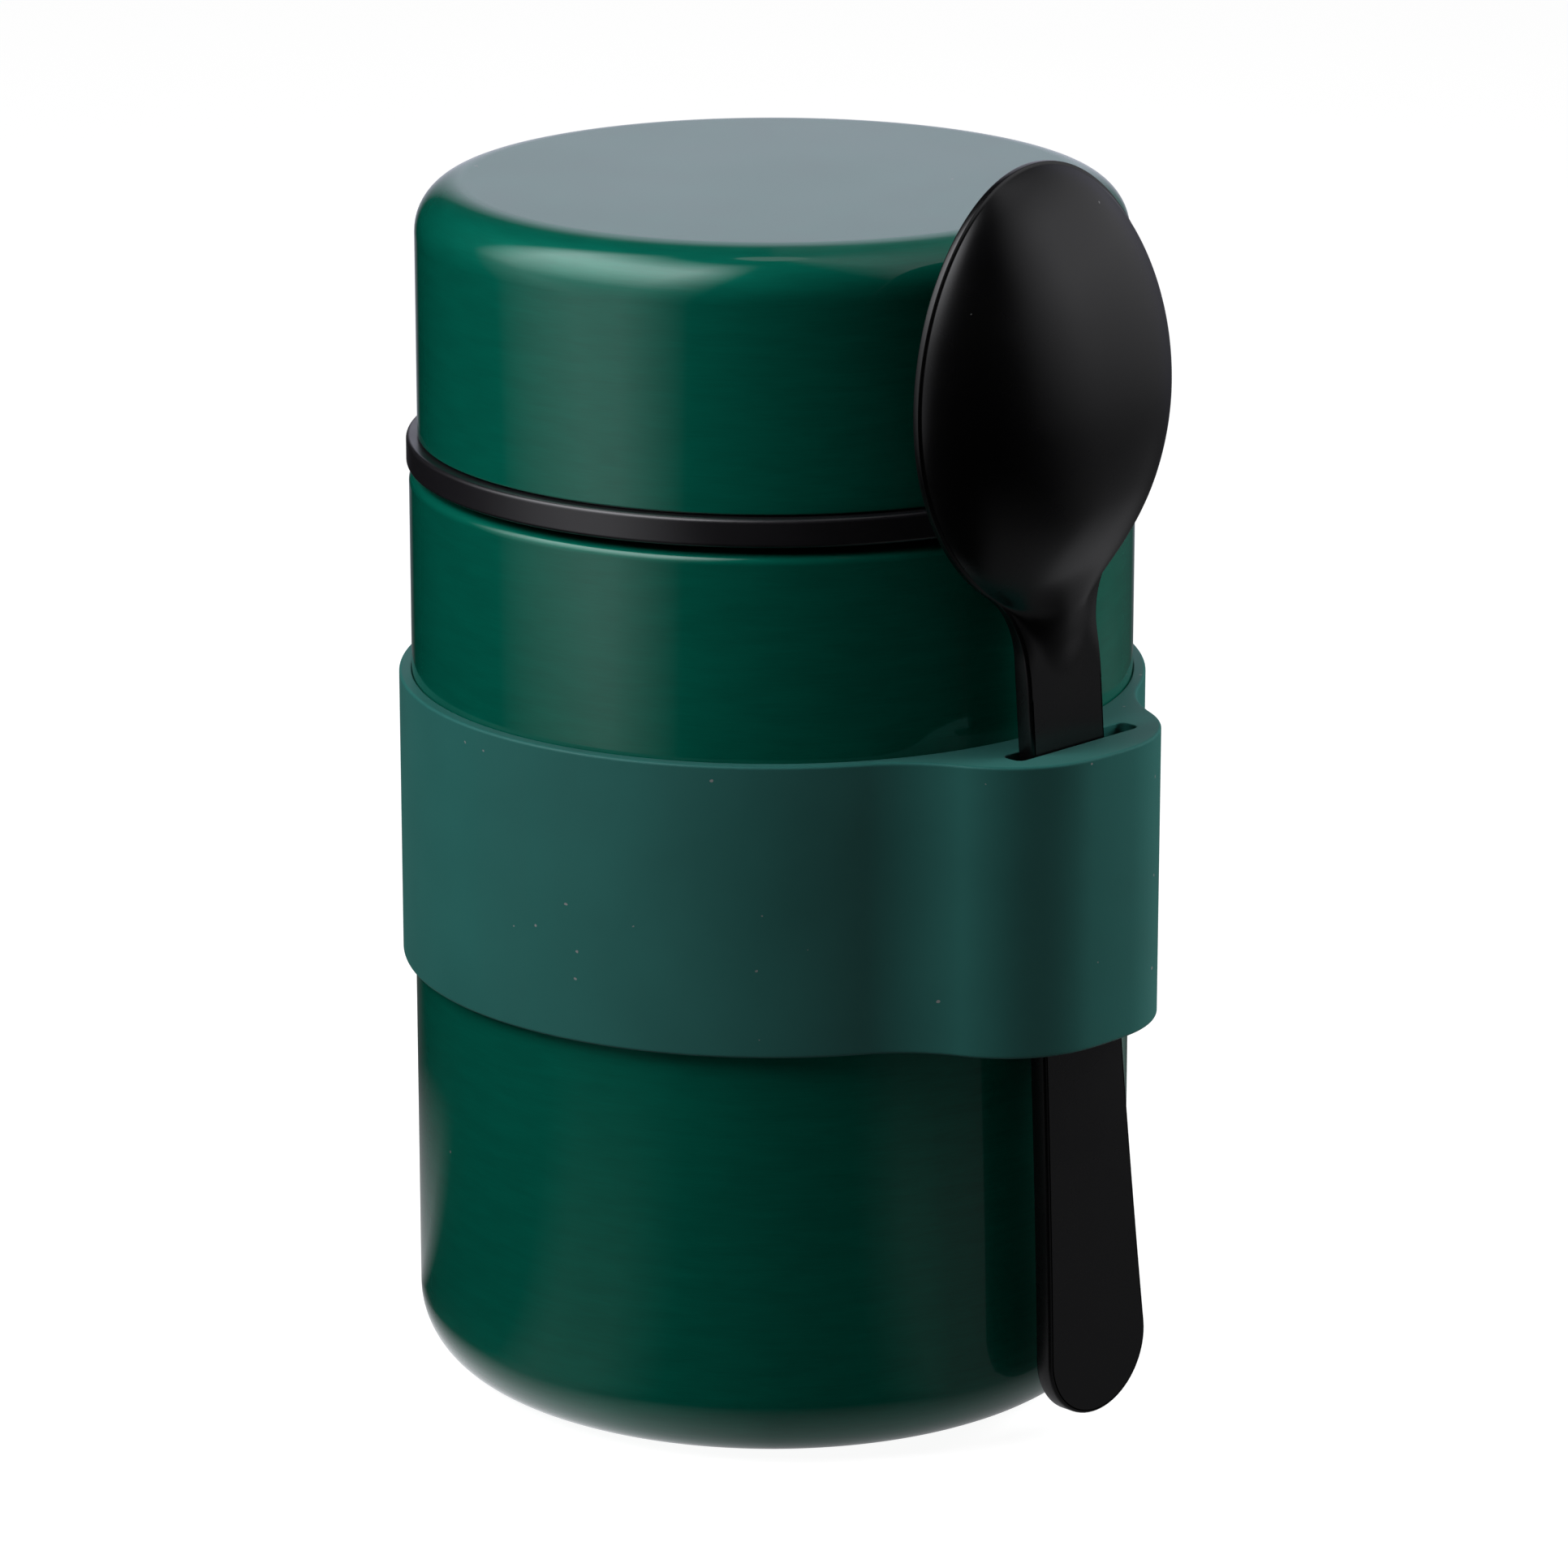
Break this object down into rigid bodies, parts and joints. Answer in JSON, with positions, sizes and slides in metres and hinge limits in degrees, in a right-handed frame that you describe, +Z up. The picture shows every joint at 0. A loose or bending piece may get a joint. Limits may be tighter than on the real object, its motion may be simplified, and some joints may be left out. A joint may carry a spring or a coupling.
{
  "type": "insulated food jar",
  "caption": "Double-walled steel food jar with a screw-on insulated lid, a stretch band round the body and a spoon held upright in the band's pocket.",
  "frame": {"origin": "centre of the base, on the jar's own axis, at the plane it stands on", "axes": "+Z up along the jar's axis; the spoon and the pocket that holds it are on the -Y side"},
  "size_m": [0.0932, 0.1065, 0.162],
  "materials": {
    "lacquer_green": "satin lacquer over brushed steel",
    "steel": "satin",
    "copper_foil": "bright",
    "getter_alloy": "matte",
    "solder_glass": "gloss",
    "lid_plastic": "satin",
    "foam": "matte",
    "seal_silicone": "satin",
    "band_silicone": "matte",
    "spoon_plastic": "matte"
  },
  "bodies": {
    "jar": {"outer_shell": "lacquer_green", "inner_wall": "steel", "inner_base": "steel", "radiation_foil": "copper_foil", "vacuum_base": "steel", "seal_bead": "solder_glass", "getter": "getter_alloy", "getter_clip": "steel", "base_cover": "steel"},
    "lid_seal": {"seal_ring": "seal_silicone"},
    "lid": {"lid_shell": "lacquer_green", "lid_core": "lid_plastic", "lid_plug": "lid_plastic", "plug_foam": "foam", "lid_foam": "foam"},
    "band": {"spoon_band": "band_silicone"},
    "spoon": {"spoon": "spoon_plastic"}
  },
  "joints": [
    {"name": "lid_lift", "type": "slide", "parent": "jar", "child": "lid_seal", "axis": [0, 0, 1], "range_m": [0, 0.018]},
    {"name": "lid_turn", "type": "hinge", "parent": "lid_seal", "child": "lid", "pos_m": [0, 0, 0.12], "axis": [0, 0, 1], "range_deg": [0, 1080]},
    {"name": "band_slide", "type": "slide", "parent": "jar", "child": "band", "axis": [0, 0, 1], "range_m": [-0.003, 0.024]},
    {"name": "spoon_lift", "type": "slide", "parent": "band", "child": "spoon", "axis": [-0.0837, 0, 0.9965], "range_m": [0, 0.09]}
  ],
  "couplings": [
    {"joint": "lid_lift", "follows": "lid_turn", "m_per_rad": 0.0009549}
  ]
}
